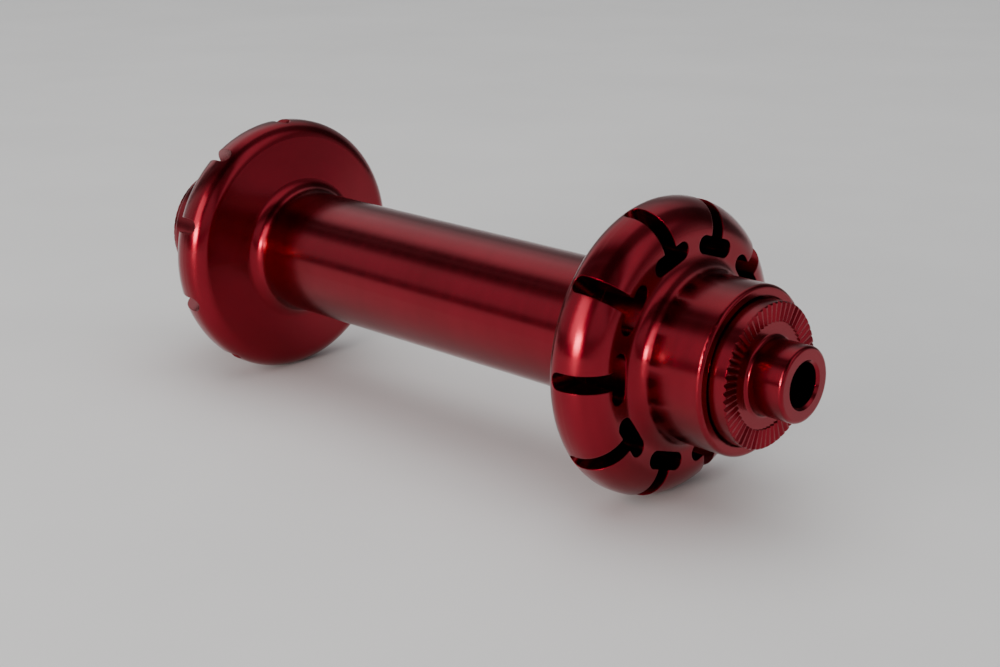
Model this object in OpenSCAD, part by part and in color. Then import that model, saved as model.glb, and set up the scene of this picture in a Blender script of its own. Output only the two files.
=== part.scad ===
// Front bicycle hub for a quick-release fork: a one-piece shell with slotted flanges for
// straight-pull spokes, two cartridge bearings, a hollow stepped axle and two end caps.
// The axle lies along Y, the origin is at the middle of the hub, +Z is up, and +Y is the right end.

/* [Shell] */
// Distance between the two faces that the fork's dropouts clamp
dropout_gap = 100; // [96:0.5:130]
// Wall of the tube between the flanges
tube_wall = 1.15; // [0.8:0.05:1.8]
// Height of the shoulder between the tube's bore and each bearing seat
seat_shoulder = 0.8; // [0.5:0.05:1.2]
// Radius of the fillet where the tube meets each flange
tube_root_r = 2; // [0.5:0.1:3]
// Wall of the barrel around each bearing
barrel_wall = 2; // [1.6:0.05:2.6]
// Radius of the fillet where each barrel leaves its flange
barrel_root_r = 2; // [0.5:0.1:4]
// Rounding of the outer edge of each barrel
barrel_edge = 0.5; // [0.1:0.05:0.6]
// How much wider than the bearing seat the cap's recess in each barrel end is, on each side
recess_step = 0.75; // [0.6:0.05:1.2]
// Depth of that recess
recess_depth = 1.7; // [1.2:0.1:3]

/* [Flanges] */
// Distance from the hub's middle to the inner face of each flange
flange_in = 31.65; // [20:0.05:32]
// Thickness of each flange
flange_t = 7.05; // [6.6:0.05:8]
// Slope of each flange's inner face in degrees, which thickens the flange towards the tube
face_slope = 9; // [0:0.5:12]
// Outer diameter of each flange
flange_d = 35.7; // [33:0.1:48]
// Rounding of the rim on the side of the hub's middle
rim_in_r = 2.5; // [1:0.1:2.5]
// Rounding of the rim on the bearing side
rim_out_r = 4; // [1:0.1:4]

/* [Spoke slots] */
// Number of spoke slots in each flange
spokes = 10; // [6:1:10]
// Width of the radial stem that the spoke lies in
stem_w = 2.1; // [1.8:0.1:2.6]
// Metal left between the round bottom of a stem and the flange's inner face
stem_web = 1.5; // [1:0.1:3]
// Distance from the barrel to the near wall of the pocket for the spoke's head
pocket_step = 1.6; // [0.8:0.1:2]
// Width of that pocket, from rounded end to rounded end
pocket_w = 6.1; // [4.5:0.1:6.5]
// Width of the pocket in the direction of the spoke, which is its cutter's diameter
pocket_cut = 2.2; // [1.8:0.1:2.6]
// Metal left between the floor of a pocket and the flange's inner face
pocket_web = 1.2; // [0.8:0.1:3]

/* [Bearings] */
// Outer diameter of a bearing
bearing_d = 16; // [15:0.1:19.5]
// Bore of a bearing, and the journal it sits on
bearing_bore = 8; // [6.5:0.1:9.6]
// Width of a bearing
bearing_w = 5; // [4.2:0.1:6]
// How far the bearing's outer face lies below the floor of the cap's recess
bearing_inset = 0.4; // [0.2:0.1:1]
// Diameter of a ball
ball_d = 2; // [1.5:0.05:2.4]
// Number of balls in a bearing
balls = 11; // [7:1:11]
// Thickness of each rubber seal of a bearing
seal_t = 0.5; // [0.3:0.05:0.7]

/* [Axle and end caps] */
// How far the axle's shoulders stay below the inner races' lands
axle_step = 0.3; // [0.1:0.05:0.5]
// Metal left in the cap between the axle's end and the clamping face
cap_floor = 1.3; // [0.8:0.1:2]
// Bore of the axle
axle_bore_d = 5.6; // [5.3:0.1:6.2]
// Running clearance around the cap's flange in its recess
cap_side_gap = 0.25; // [0.2:0.05:0.6]
// How far the cap's clamping face stands out of the shell
cap_proud = 2.3; // [2:0.1:4]
// Running clearance between the cap's flange and the floor of its recess
cap_gap = 0.3; // [0.15:0.05:0.5]
// Diameter of the stub that drops into the fork
stub_d = 8.9; // [8.4:0.1:9.8]
// Length of that stub
stub_len = 4.5; // [3:0.1:8]
// Bore of the cap for the skewer
skewer_bore_d = 5.2; // [5:0.1:5.5]
// Number of teeth that bite into the dropout
teeth = 56; // [24:1:60]
// Height of a tooth
tooth_h = 0.25; // [0.2:0.05:0.6]
// Diameter of the smooth ring inside the teeth
tooth_in_d = 12.4; // [11.5:0.1:13.5]

/* [Hidden] */
$fn = 96;

red = [0.60, 0.07, 0.12];
alloy = [0.66, 0.67, 0.69];
steel = [0.72, 0.73, 0.75];
rubber = [0.09, 0.09, 0.10];
nylon = [0.80, 0.76, 0.66];

fit_gap = 0.015;      // slip fit of a ring on its journal, or in its bore
run_gap = 0.05;       // running clearance inside a bearing
end_gap = 0.2;        // free length between the axle's end and the cap
over = 1;             // how far a cutter reaches past what it cuts

// Places along the axle, measured from the hub's middle
face_z = dropout_gap / 2;
barrel_end = face_z - cap_proud;
recess_z = barrel_end - recess_depth;
bearing_out = recess_z - bearing_inset;
bearing_in = bearing_out - bearing_w;
bearing_mid = (bearing_in + bearing_out) / 2;
flange_out = flange_in + flange_t;
axle_end = face_z - cap_floor - end_gap;
stub_end = face_z + stub_len;

// Radii
flange_r = flange_d / 2;
bearing_r = bearing_d / 2;
journal_r = bearing_bore / 2;
tube_bore_r = bearing_r - seat_shoulder;
tube_r = tube_bore_r + tube_wall;
barrel_r = bearing_r + barrel_wall;
recess_r = bearing_r + recess_step;
cap_r = recess_r - cap_side_gap;
pocket_in = barrel_r + pocket_step;
tooth_in_r = tooth_in_d / 2;
ball_r = ball_d / 2;
stub_r = stub_d / 2;

// Sloped inner face of the flange, from the rim's rounding down to the fillet at the tube
slope_r = flange_r - rim_in_r + rim_in_r * sin(face_slope);
slope_z = flange_in + rim_in_r * (1 - cos(face_slope));
root_r = tube_r + tube_root_r * (1 - sin(face_slope));
root_mid_z = slope_at(root_r) - tube_root_r * cos(face_slope);
function slope_at(r) = slope_z - (slope_r - r) * tan(face_slope);

// Bearing sections
pitch_r = (bearing_r + journal_r) / 2;
groove_r = ball_r + run_gap;
land_share = 0.7;     // how far each land lies from the pitch circle, in ball radii
inner_land = pitch_r - land_share * ball_r;
outer_land = pitch_r + land_share * ball_r;
seal_step = 0.3;      // depth of the outer race's counterbore for a seal
seal_seat = outer_land + seal_step;
axle_mid_r = inner_land - axle_step;
race_edge = 0.25;
cage_t = 0.36 * ball_d;
cage_w = 1.4 * ball_d;

// Axle and end cap details
axle_edge = 0.3;
cap_edge = 0.15;
stub_edge = 0.45;
stub_fillet = 0.5;
bore_mouth = 0.3;
boss_step = 0.1;      // keeps the spigot off everything but the inner race
boss_r = inner_land - boss_step;
cap_bore_end = face_z - cap_floor;
tooth_share = 0.92;   // part of the tooth pitch that a groove takes at the crests
oring_wire = 1;
oring_inset = 1.8;    // from the bearing's face to the middle of the O-ring
oring_z = bearing_out + oring_inset;
groove_w = 1.3 * oring_wire;

// Dust seal details
dust_gap = 0.15;      // between the bearing's face and the seal
dust_z = bearing_out + dust_gap;
dust_t = 0.4;
dust_lip = 1;         // width of the raised lip
dust_side_gap = 0.25; // between the lip and the bearing seat's wall
dust_lift = 0.15;     // how much the lip thins towards its edge

// Turns a shape built up Z so that it lies along the axle, at the right or the left end
module right_end() {
    rotate([-90, 0, 0]) children();
}

module left_end() {
    mirror([0, 1, 0]) right_end() children();
}

// Concave fillet of radius r between a wall along +X and a wall along +Y
module inside_corner(r) {
    difference() {
        square(r);
        translate([r, r]) circle(r);
    }
}

// Quarter of a disc of radius r, between +X and +Y
module quarter_disc(r) {
    intersection() {
        circle(r);
        square(r);
    }
}

// Half section of a plain ring with chamfered corners
module ring_section(r_in, r_out, z0, z1, edge) {
    polygon([
        [r_in + edge, z0], [r_out - edge, z0], [r_out, z0 + edge], [r_out, z1 - edge],
        [r_out - edge, z1], [r_in + edge, z1], [r_in, z1 - edge], [r_in, z0 + edge]
    ]);
}

// Half section of one flange: a thick disc with a sloped inner face and two rounded rim edges
module flange_section() {
    polygon([
        [0, slope_at(0)], [slope_r, slope_z], [slope_r, flange_in + rim_in_r], [0, flange_in + rim_in_r]
    ]);
    translate([0, flange_in]) square([flange_r - rim_in_r, flange_t - rim_out_r]);
    translate([0, flange_in + rim_in_r]) square([flange_r - rim_out_r, flange_t - rim_in_r]);
    translate([0, flange_in + rim_in_r]) square([flange_r, flange_t - rim_in_r - rim_out_r]);
    translate([flange_r - rim_in_r, flange_in + rim_in_r]) mirror([0, 1]) quarter_disc(rim_in_r);
    translate([flange_r - rim_out_r, flange_out - rim_out_r]) quarter_disc(rim_out_r);
}

// Half section of the fillet between the tube and the sloped face
module tube_root_section() {
    difference() {
        polygon([
            [0, root_mid_z], [tube_r + tube_root_r, root_mid_z], [root_r, slope_at(root_r)],
            [root_r, flange_in + over], [0, flange_in + over]
        ]);
        translate([tube_r + tube_root_r, root_mid_z]) circle(tube_root_r);
    }
}

// Half section of the right half of the shell's outside
module outside_section() {
    square([tube_r, flange_in + over]);
    flange_section();
    tube_root_section();
    translate([barrel_r, flange_out]) inside_corner(barrel_root_r);
    translate([0, flange_out - over]) square([barrel_r, barrel_end - barrel_edge - flange_out + over]);
    translate([0, flange_out]) square([barrel_r - barrel_edge, barrel_end - flange_out]);
    translate([barrel_r - barrel_edge, barrel_end - barrel_edge]) quarter_disc(barrel_edge);
}

// Half section of what is bored out of the right half
module inside_section() {
    square([tube_bore_r, bearing_in + over]);
    translate([0, bearing_in]) square([bearing_r + fit_gap, recess_z - bearing_in + over]);
    translate([0, recess_z]) square([recess_r, recess_depth + over]);
}

// One spoke slot along +X: a round-bottomed stem out through the rim, and a pocket for the head
module spoke_slot() {
    stem_z = flange_in + stem_web + stem_w / 2;
    pocket_z = flange_in + pocket_web;
    pocket_mid = pocket_in + pocket_cut / 2;
    reach = flange_r + over - pocket_mid;
    depth = flange_out + barrel_root_r - pocket_z;
    translate([pocket_mid, 0, stem_z]) rotate([0, 90, 0]) cylinder(d = stem_w, h = reach);
    translate([pocket_mid, -stem_w / 2, stem_z]) cube([reach, stem_w, flange_t]);
    translate([pocket_in, 0, pocket_z]) linear_extrude(depth) pocket_outline();
}

// Plan of the pocket: a stadium across the slot, its near wall at x = 0
module pocket_outline() {
    half = (pocket_w - pocket_cut) / 2;
    translate([0, -half]) square([pocket_cut, 2 * half]);
    for (side = [-1, 1]) {
        translate([pocket_cut / 2, side * half]) circle(d = pocket_cut);
    }
}

module half_shell(phase) {
    difference() {
        rotate_extrude() difference() {
            outside_section();
            inside_section();
        }
        for (i = [0 : spokes - 1]) {
            rotate(phase + i * 360 / spokes) spoke_slot();
        }
    }
}

// One turned piece; the left flange's slots lie half a pitch from the right flange's
module hub_shell() {
    color(red) union() {
        right_end() half_shell(0);
        left_end() half_shell(180 / spokes);
    }
}

// Stepped hollow shaft: a thick middle, a shoulder for each inner race and two long journals
module axle() {
    r = journal_r - fit_gap;
    color(alloy) right_end() rotate_extrude() difference() {
        union() {
            translate([0, -bearing_in]) square([axle_mid_r, 2 * bearing_in]);
            ring_section(0, r, -axle_end, axle_end, axle_edge);
        }
        translate([0, -axle_end - over]) square([axle_bore_d / 2, 2 * (axle_end + over)]);
    }
}

// Half section of the cap without its teeth
module cap_section() {
    disc_z = recess_z + cap_gap;
    root_z = face_z - tooth_h;
    difference() {
        union() {
            translate([0, bearing_out]) square([boss_r, face_z - bearing_out - tooth_h]);
            translate([0, disc_z]) ring_half(cap_r, root_z - disc_z, cap_edge);
            translate([tooth_in_r, root_z - over]) square([cap_r - cap_edge - tooth_in_r, tooth_h + over]);
            translate([0, root_z]) square([stub_r, stub_end - stub_edge - root_z]);
            translate([0, root_z]) square([stub_r - stub_edge, stub_end - root_z]);
            translate([stub_r - stub_edge, stub_end - stub_edge]) quarter_disc(stub_edge);
            translate([stub_r, root_z]) inside_corner(stub_fillet);
            polygon([
                [cap_r - cap_edge - over, root_z - over], [cap_r, root_z - over],
                [cap_r, face_z - cap_edge], [cap_r - cap_edge, face_z], [cap_r - cap_edge - over, face_z]
            ]);
        }
        translate([0, bearing_out - over]) square([journal_r, cap_bore_end - bearing_out + over]);
        translate([0, bearing_out]) square([skewer_bore_d / 2, stub_end]);
        translate([0, oring_z - groove_w / 2]) square([journal_r + oring_wire, groove_w]);
        polygon([
            [0, stub_end - bore_mouth], [skewer_bore_d / 2, stub_end - bore_mouth],
            [skewer_bore_d / 2 + bore_mouth + over, stub_end + over], [0, stub_end + over]
        ]);
    }
}

// Half section of a disc standing on Y = 0, with its lower outer corner chamfered
module ring_half(r, h, edge) {
    polygon([[0, 0], [r - edge, 0], [r, edge], [r, h], [0, h]]);
}

// V groove between two teeth, cut along +X
module tooth_gap() {
    half = tooth_share * PI * tooth_in_r / teeth;
    start = tooth_in_r - tooth_h;
    translate([start, 0, face_z]) rotate([90, 0, 90]) linear_extrude(cap_r + over - start)
        polygon([[0, -tooth_h], [half, 0], [half, tooth_h], [-half, tooth_h], [-half, 0]]);
}

module end_cap() {
    color(red) difference() {
        rotate_extrude() cap_section();
        for (i = [0 : teeth - 1]) {
            rotate(i * 360 / teeth) tooth_gap();
        }
    }
}

// Ring of round rubber in the cap's groove, which grips the axle's journal
module cap_oring() {
    color(rubber) rotate_extrude() translate([journal_r + oring_wire / 2, oring_z])
        circle(d = oring_wire - 2 * fit_gap);
}

// Flat rubber ring with a raised lip on the cap's spigot, in front of the bearing
module dust_seal() {
    lip_r = bearing_r - dust_side_gap;
    color(rubber) rotate_extrude() polygon([
        [boss_r + fit_gap, dust_z], [lip_r - dust_lip, dust_z], [lip_r, dust_z + dust_lift],
        [lip_r, dust_z + dust_t], [boss_r + fit_gap, dust_z + dust_t]
    ]);
}

module outer_race() {
    color(steel) rotate_extrude() difference() {
        ring_section(outer_land, bearing_r, bearing_in, bearing_out, race_edge);
        translate([pitch_r, bearing_mid]) circle(groove_r);
        for (z = [bearing_in - over, bearing_out - seal_t]) {
            translate([0, z]) square([seal_seat, seal_t + over]);
        }
    }
}

module inner_race() {
    color(steel) rotate_extrude() difference() {
        ring_section(journal_r, inner_land, bearing_in, bearing_out, race_edge);
        translate([pitch_r, bearing_mid]) circle(groove_r);
    }
}

// The balls are separate solids, evenly spaced by the cage
module ball_set() {
    color(steel) for (i = [0 : balls - 1]) {
        rotate(i * 360 / balls) translate([pitch_r, 0, bearing_mid]) sphere(ball_r, $fn = 32);
    }
}

module cage() {
    color(nylon) difference() {
        translate([0, 0, bearing_mid - cage_w / 2]) difference() {
            cylinder(r = pitch_r + cage_t / 2, h = cage_w);
            translate([0, 0, -over]) cylinder(r = pitch_r - cage_t / 2, h = cage_w + 2 * over);
        }
        for (i = [0 : balls - 1]) {
            rotate(i * 360 / balls) translate([pitch_r - cage_t, 0, bearing_mid]) rotate([0, 90, 0])
                cylinder(r = groove_r, h = 2 * cage_t);
        }
    }
}

// Thin rubber ring held in the outer race, its inner edge just clear of the inner race
module bearing_seal(z) {
    color(rubber) translate([0, 0, z]) difference() {
        cylinder(r = seal_seat - fit_gap, h = seal_t);
        translate([0, 0, -over]) cylinder(r = inner_land + run_gap, h = seal_t + 2 * over);
    }
}

hub_shell();
axle();
left_end() end_cap();  // left_end_cap
right_end() end_cap();  // right_end_cap
left_end() cap_oring();  // left_cap_oring
right_end() cap_oring();  // right_cap_oring
left_end() dust_seal();  // left_dust_seal
right_end() dust_seal();  // right_dust_seal
left_end() outer_race();  // left_outer_race
right_end() outer_race();  // right_outer_race
left_end() inner_race();  // left_inner_race
right_end() inner_race();  // right_inner_race
left_end() ball_set();  // left_balls
right_end() ball_set();  // right_balls
left_end() cage();  // left_cage
right_end() cage();  // right_cage
left_end() bearing_seal(bearing_in);  // left_inboard_seal
right_end() bearing_seal(bearing_in);  // right_inboard_seal
left_end() bearing_seal(bearing_out - seal_t);  // left_outboard_seal
right_end() bearing_seal(bearing_out - seal_t);  // right_outboard_seal
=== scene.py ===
import math

import bpy
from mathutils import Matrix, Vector


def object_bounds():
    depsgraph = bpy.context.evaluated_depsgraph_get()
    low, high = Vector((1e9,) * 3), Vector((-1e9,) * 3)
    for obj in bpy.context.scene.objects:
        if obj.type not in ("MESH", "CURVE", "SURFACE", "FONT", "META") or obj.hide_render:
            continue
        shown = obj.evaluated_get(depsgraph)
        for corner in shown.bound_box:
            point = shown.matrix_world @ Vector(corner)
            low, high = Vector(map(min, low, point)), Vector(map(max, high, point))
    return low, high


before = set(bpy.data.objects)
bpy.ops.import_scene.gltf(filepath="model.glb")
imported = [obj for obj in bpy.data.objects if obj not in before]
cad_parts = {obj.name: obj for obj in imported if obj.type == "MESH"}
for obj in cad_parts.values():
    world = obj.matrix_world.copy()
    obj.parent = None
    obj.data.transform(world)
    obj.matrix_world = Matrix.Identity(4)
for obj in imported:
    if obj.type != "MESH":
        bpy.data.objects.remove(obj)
cad_low, cad_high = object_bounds()

# Camera. It stands off the right end, a little above the hub, and looks back
# along the axle and down at the table.
camera_place = (0.15079, 0.15362, 0.0622)
camera_heading = 3.945      # radians, clockwise from +Y seen from above
camera_dip = 0.307          # radians below level
camera_look = Vector((
    math.sin(camera_heading) * math.cos(camera_dip),
    math.cos(camera_heading) * math.cos(camera_dip),
    -math.sin(camera_dip),
))
camera_data = bpy.data.cameras.new("camera")
camera_data.sensor_width = 36
camera_data.lens = 61.81
camera_data.clip_start = 0.01
camera = bpy.data.objects.new("camera", camera_data)
camera.location = camera_place
camera.rotation_euler = camera_look.to_track_quat("-Z", "Y").to_euler()
bpy.context.scene.collection.objects.link(camera)
bpy.context.scene.camera = camera


# Hub shell. One piece of aluminium alloy, turned on a lathe, slotted for the
# spoke heads, polished, then dyed deep red in the anodising bath and sealed.
def put(tree, kind, settings=None, **values):
    # A new shader node; values go to the sockets of those names
    made = tree.nodes.new(kind)
    for name, value in (settings or {}).items():
        setattr(made, name, value)
    for name, value in values.items():
        made.inputs[name.replace("_", " ")].default_value = value
    return made


def maths(tree, operation, first, second):
    made = put(tree, "ShaderNodeMath", {"operation": operation})
    for socket, value in zip(made.inputs, (first, second)):
        if isinstance(value, (int, float)):
            socket.default_value = value
        else:
            tree.links.new(value, socket)
    return made.outputs[0]


def start_group(name, inputs, outputs):
    group = bpy.data.node_groups.new(name, "ShaderNodeTree")
    kinds = {"float": "NodeSocketFloat", "vector": "NodeSocketVector"}
    for socket_name, kind in inputs.items():
        group.interface.new_socket(socket_name, in_out="INPUT", socket_type=kinds[kind])
    for socket_name, kind in outputs.items():
        group.interface.new_socket(socket_name, in_out="OUTPUT", socket_type=kinds[kind])
    return group, put(group, "NodeGroupInput"), put(group, "NodeGroupOutput")


def lathe_marks():
    # Rings that the tool leaves, the same all the way round, with Rings noise steps to a
    # metre: Height for the bump, Bands for the slow change in polish along the piece
    band_share = 0.09       # steps of a band, as a share of the rings'
    group, given, result = start_group(
        "lathe_marks", {"Place": "vector", "Rings": "float"}, {"Height": "float", "Bands": "float"}
    )
    link = group.links.new
    split = put(group, "ShaderNodeSeparateXYZ")
    link(given.outputs["Place"], split.inputs[0])
    across = put(group, "ShaderNodeCombineXYZ")
    link(split.outputs["X"], across.inputs["X"])
    link(split.outputs["Z"], across.inputs["Z"])
    radius = put(group, "ShaderNodeVectorMath", {"operation": "LENGTH"})
    link(across.outputs[0], radius.inputs[0])
    for output, share, detail in (("Height", 1, 3), ("Bands", band_share, 1)):
        steps = maths(group, "MULTIPLY", given.outputs["Rings"], share)
        spread = put(group, "ShaderNodeCombineXYZ")
        link(maths(group, "MULTIPLY", split.outputs["Y"], steps), spread.inputs["X"])
        link(maths(group, "MULTIPLY", radius.outputs["Value"], steps), spread.inputs["Y"])
        noise = put(
            group, "ShaderNodeTexNoise", {"noise_dimensions": "2D"}, Scale=1, Detail=detail, Roughness=0.6
        )
        link(spread.outputs[0], noise.inputs["Vector"])
        link(noise.outputs["Fac"], result.inputs[output])
    return group


def blotches():
    # Slow, cloudy change over the surface, from 0 to 1, with patches Size metres across
    group, given, result = start_group("blotches", {"Place": "vector", "Size": "float"}, {"Mask": "float"})
    noise = put(group, "ShaderNodeTexNoise", Detail=3, Roughness=0.55)
    group.links.new(given.outputs["Place"], noise.inputs["Vector"])
    group.links.new(maths(group, "DIVIDE", 1, given.outputs["Size"]), noise.inputs["Scale"])
    spread = put(group, "ShaderNodeMapRange", From_Min=0.32, From_Max=0.68)
    group.links.new(noise.outputs["Fac"], spread.inputs["Value"])
    group.links.new(spread.outputs[0], result.inputs["Mask"])
    return group


LATHE_MARKS = lathe_marks()
BLOTCHES = blotches()


def start_material(name, **values):
    # A material whose patterns lie on Object coordinates, which stay with the piece
    material = bpy.data.materials.new(name)
    material.use_nodes = True
    tree = material.node_tree
    shader = tree.nodes["Principled BSDF"]
    for socket_name, value in values.items():
        shader.inputs[socket_name.replace("_", " ")].default_value = value
    place = put(tree, "ShaderNodeTexCoord").outputs["Object"]
    return material, tree, shader, place


def place_group(tree, group, place, **values):
    made = put(tree, "ShaderNodeGroup", {"node_tree": group}, **values)
    tree.links.new(place, made.inputs["Place"])
    return made


def mix_masks(tree, first, second, share):
    # Share is the second mask's part of the whole
    first_part = maths(tree, "MULTIPLY", first, 1 - share)
    second_part = maths(tree, "MULTIPLY", second, share)
    return maths(tree, "ADD", first_part, second_part)


def mix_colours(tree, mask, dark, light):
    mix = put(tree, "ShaderNodeMix", {"data_type": "RGBA"})
    ends = [socket for socket in mix.inputs if socket.type == "RGBA"]
    for socket, colour in zip(ends, (dark, light)):
        if isinstance(colour, tuple):
            socket.default_value = (*colour, 1)
        else:
            tree.links.new(colour, socket)
    tree.links.new(mask, mix.inputs["Factor"])
    return next(socket for socket in mix.outputs if socket.type == "RGBA")


def tint(tree, shader, mask, dark, light):
    tree.links.new(mix_colours(tree, mask, dark, light), shader.inputs["Base Color"])


def polish(tree, shader, mask, glossy, dull):
    # Roughness runs from glossy to dull with the mask
    rise = maths(tree, "MULTIPLY", mask, dull - glossy)
    tree.links.new(maths(tree, "ADD", glossy, rise), shader.inputs["Roughness"])


def emboss(tree, shader, height, depth, under=None):
    # Relief of the given depth in metres, on top of the normal that comes from under
    bump = put(tree, "ShaderNodeBump", Strength=1, Distance=depth)
    if under is not None:
        tree.links.new(under, bump.inputs["Normal"])
    tree.links.new(height, bump.inputs["Height"])
    tree.links.new(bump.outputs[0], shader.inputs["Normal"])


def red_anodising(name, rings, ring_depth, edge, dark, light):
    # The dye takes in clouds and bands, and small smears break the polish. Corners catch
    # the light as if they were broken to the radius edge.
    material, tree, shader, place = start_material(
        name, Metallic=1, Coat_Weight=0.3, Coat_Roughness=0.15, Coat_IOR=1.5
    )
    marks = place_group(tree, LATHE_MARKS, place, Rings=rings)
    dye = place_group(tree, BLOTCHES, place, Size=0.011)
    smears = place_group(tree, BLOTCHES, place, Size=0.0023)
    bands = marks.outputs["Bands"]
    tint(tree, shader, mix_masks(tree, dye.outputs["Mask"], bands, share=0.4), dark, light)
    polish(tree, shader, mix_masks(tree, smears.outputs["Mask"], bands, share=0.5), glossy=0.17, dull=0.28)
    broken_edge = put(tree, "ShaderNodeBevel", {"samples": 4}, Radius=edge)
    emboss(tree, shader, marks.outputs["Height"], ring_depth, under=broken_edge.outputs[0])
    return material


def dress(material, *nodes):
    for name in nodes:
        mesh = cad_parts[name].data
        mesh.materials.clear()
        mesh.materials.append(material)


shell_red = red_anodising(
    "shell_red", rings=9000, ring_depth=0.0000025, edge=0.00018,
    dark=(0.20, 0.002, 0.011), light=(0.26, 0.004, 0.017),
)
dress(shell_red, "hub_shell")

# End caps. Turned from the same alloy and dyed in the same bath; the toothed
# face is cut by broaching, and the stub beyond it drops into the fork.
cap_red = red_anodising(
    "cap_red", rings=11000, ring_depth=0.000002, edge=0.00008,
    dark=(0.19, 0.002, 0.011), light=(0.26, 0.004, 0.017),
)
dress(cap_red, "left_end_cap", "right_end_cap")

# Axle. A stepped tube turned from aluminium alloy and clear anodised, so it keeps
# its grey metal colour with fine rings from the lathe.
material, tree, shader, place = start_material("axle_alloy", Metallic=1)
marks = place_group(tree, LATHE_MARKS, place, Rings=7000)
stain = place_group(tree, BLOTCHES, place, Size=0.006)
tint(tree, shader, stain.outputs["Mask"], dark=(0.50, 0.51, 0.53), light=(0.60, 0.61, 0.63))
polish(tree, shader, marks.outputs["Bands"], glossy=0.25, dull=0.42)
emboss(tree, shader, marks.outputs["Height"], depth=0.000004)
dress(material, "axle")


# Rubber parts. The O-ring in each cap, the flat dust seal on its spigot and the two
# seals pressed into each bearing are moulded nitrile rubber with a faint matt grain.
def moulded(name, dark, light, glossy, dull, grain_size, grain_depth):
    # Rubber or plastic from a mould; its shade drifts over patches of a few millimetres
    material, tree, shader, place = start_material(name)
    shade = place_group(tree, BLOTCHES, place, Size=0.004)
    grain = place_group(tree, BLOTCHES, place, Size=grain_size)
    tint(tree, shader, shade.outputs["Mask"], dark, light)
    polish(tree, shader, shade.outputs["Mask"], glossy, dull)
    emboss(tree, shader, grain.outputs["Mask"], grain_depth)
    return material


nitrile_rubber = moulded(
    "nitrile_rubber", dark=(0.012, 0.012, 0.013), light=(0.03, 0.03, 0.032),
    glossy=0.5, dull=0.72, grain_size=0.00025, grain_depth=0.00001,
)
dress(nitrile_rubber, "left_cap_oring", "right_cap_oring", "left_dust_seal", "right_dust_seal",
      "left_inboard_seal", "right_inboard_seal", "left_outboard_seal", "right_outboard_seal")


# Bearing rings. Hardened bearing steel, ground all over, with a fine ground grain
# that runs round the ring and a thin film of oil here and there.
def bearing_steel(name, rings, ring_depth, glossy, dull):
    material, tree, shader, place = start_material(name, Metallic=1)
    marks = place_group(tree, LATHE_MARKS, place, Rings=rings)
    oil = place_group(tree, BLOTCHES, place, Size=0.003)
    tint(tree, shader, oil.outputs["Mask"], dark=(0.55, 0.56, 0.57), light=(0.68, 0.69, 0.70))
    polish(tree, shader, oil.outputs["Mask"], glossy, dull)
    emboss(tree, shader, marks.outputs["Height"], ring_depth)
    return material


ground_steel = bearing_steel("ground_steel", rings=14000, ring_depth=0.0000015, glossy=0.14, dull=0.26)
dress(ground_steel, "left_outer_race", "right_outer_race", "left_inner_race", "right_inner_race")

# Balls. Eleven lapped and polished steel balls run in each bearing; they shine
# almost like mirrors under a film of oil.
lapped_steel = bearing_steel("lapped_steel", rings=3000, ring_depth=0.0000002, glossy=0.04, dull=0.10)
dress(lapped_steel, "left_balls", "right_balls")

# Cages. A ring moulded from nylon keeps the balls of each bearing evenly apart;
# it has the natural cream colour of the plastic and a slight sheen.
cage_nylon = moulded(
    "cage_nylon", dark=(0.62, 0.56, 0.44), light=(0.72, 0.67, 0.55),
    glossy=0.38, dull=0.52, grain_size=0.0004, grain_depth=0.000006,
)
dress(cage_nylon, "left_cage", "right_cage")

# Table. A plain pale sheet, only faintly glossy, that the hub lies on with the
# rims of its two flanges.
bpy.ops.mesh.primitive_plane_add(size=3, location=(0, 0, cad_low[2]))
table = bpy.context.object
table.name = "table"
material, tree, shader, place = start_material("pale_sheet", Roughness=0.55, Specular_IOR_Level=0.35)
cloud = place_group(tree, BLOTCHES, place, Size=0.05)
tint(tree, shader, cloud.outputs["Mask"], dark=(0.80, 0.80, 0.80), light=(0.84, 0.84, 0.84))
table.data.materials.append(material)


# Key light. A low, slightly warm softbox in front of the hub, level with the right
# flange; it gives the bright core of each highlight.
def softbox(name, width, height, heading, rise, distance, energy, colour):
    # Faces the middle of the hub. Heading is in degrees from +X towards +Y, rise in
    # degrees above level, and the sizes and the distance are in metres.
    data = bpy.data.lights.new(name, "AREA")
    data.shape = "RECTANGLE"
    data.size = width
    data.size_y = height
    data.energy = energy
    data.color = colour
    way = Vector((
        math.cos(math.radians(rise)) * math.cos(math.radians(heading)),
        math.cos(math.radians(rise)) * math.sin(math.radians(heading)),
        math.sin(math.radians(rise)),
    ))
    lamp = bpy.data.objects.new(name, data)
    lamp.location = distance * way
    lamp.rotation_euler = (-way).to_track_quat("-Z", "Y").to_euler()
    lamp.visible_camera = False
    bpy.context.scene.collection.objects.link(lamp)


softbox("key", width=0.253, height=0.126, heading=8, rise=10, distance=0.8,
        energy=3.4, colour=(1, 0.93, 0.86))

# Haze. A taller, fainter softbox above the key light, which carries each highlight
# on upwards and lets it fade out.
softbox("haze", width=0.5, height=0.46, heading=-5, rise=24, distance=0.82,
        energy=2.0, colour=(1, 0.95, 0.93))

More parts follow.
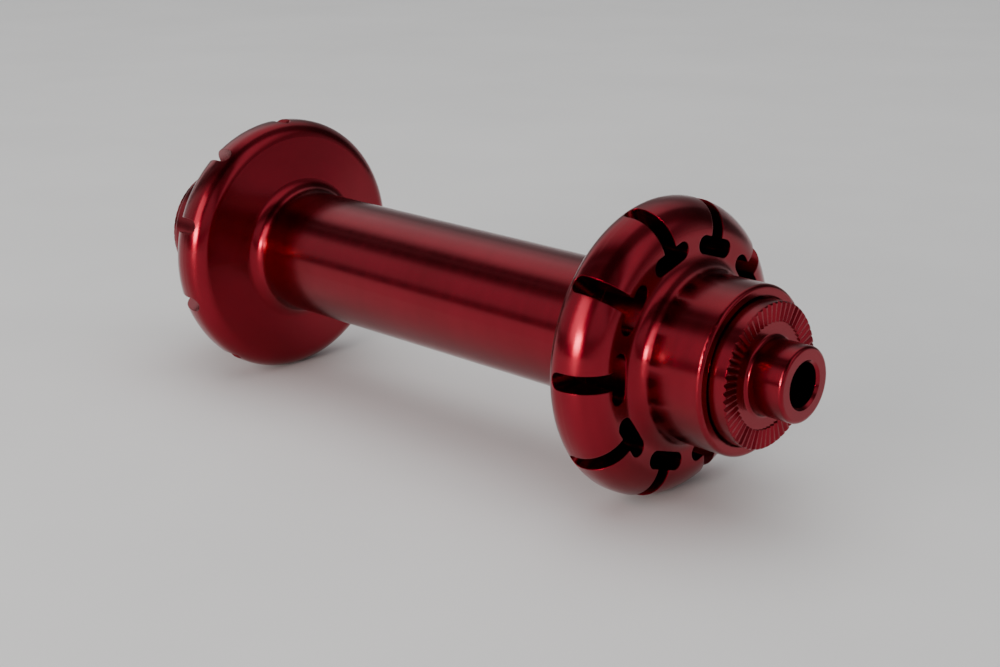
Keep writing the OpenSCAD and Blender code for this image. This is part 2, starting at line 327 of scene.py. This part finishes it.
# Overhead. A wide sheet of soft light, which fills in the table from above and
# leaves no reflection of its own on the hub.
overhead_data = bpy.data.lights.new("overhead", "AREA")
overhead_data.size = 1.6
overhead_data.energy = 9
overhead = bpy.data.objects.new("overhead", overhead_data)
overhead.location = (0, 0, 1.2)
overhead.visible_camera = False
overhead.visible_glossy = False
bpy.context.scene.collection.objects.link(overhead)

# Room. Long soft lights and dark gaps between them run parallel to the axle, so
# they lie along the tube as stripes; seen directly, the room is plain and pale.
room_tone = (0.6, 0.6, 0.6)
# Brightness by the angle round the axle, in degrees from +X towards +Z
stripe_levels = {
    -180: 0.42, -14: 0.42, -4: 0.14, 7: 0.14, 17: 0.6, 44: 0.68, 53: 0.2, 60: 0.08, 66: 0.12,
    69: 0.3, 72: 0.12, 78: 0.08, 88: 0.7, 95: 0.95, 120: 0.85, 135: 0.5, 150: 0.2, 162: 0.25, 180: 0.5,
}
# Share of it that is left along the axle, by the Y part of the way looked in
wall_shares = {-1: 1, -0.06: 1, 0.08: 0.2, 0.45: 0.2, 0.62: 1, 1: 1}
world = bpy.data.worlds.new("room")
bpy.context.scene.world = world
world.use_nodes = True
tree = world.node_tree


def graded(tree, value, levels, low, high):
    # Grey that follows the levels as the value goes from low to high
    ramp = put(tree, "ShaderNodeValToRGB")
    ramp.color_ramp.interpolation = "EASE"
    stops = ramp.color_ramp.elements
    for at, level in levels.items():
        stop = {low: stops[0], high: stops[-1]}.get(at) or stops.new((at - low) / (high - low))
        stop.color = (level, level, level, 1)
    share = maths(tree, "DIVIDE", maths(tree, "SUBTRACT", value, low), high - low)
    tree.links.new(share, ramp.inputs["Fac"])
    return ramp.outputs["Color"]


split = put(tree, "ShaderNodeSeparateXYZ")
tree.links.new(put(tree, "ShaderNodeTexCoord").outputs["Generated"], split.inputs[0])
turn = maths(tree, "ARCTAN2", split.outputs["Z"], split.outputs["X"])
stripes = graded(tree, maths(tree, "MULTIPLY", turn, 180 / math.pi), stripe_levels, -180, 180)
walls = graded(tree, split.outputs["Y"], wall_shares, -1, 1)
glow = maths(tree, "MULTIPLY", stripes, walls)
seen_directly = put(tree, "ShaderNodeLightPath").outputs["Is Camera Ray"]
tree.links.new(mix_colours(tree, seen_directly, glow, room_tone), tree.nodes["Background"].inputs["Color"])
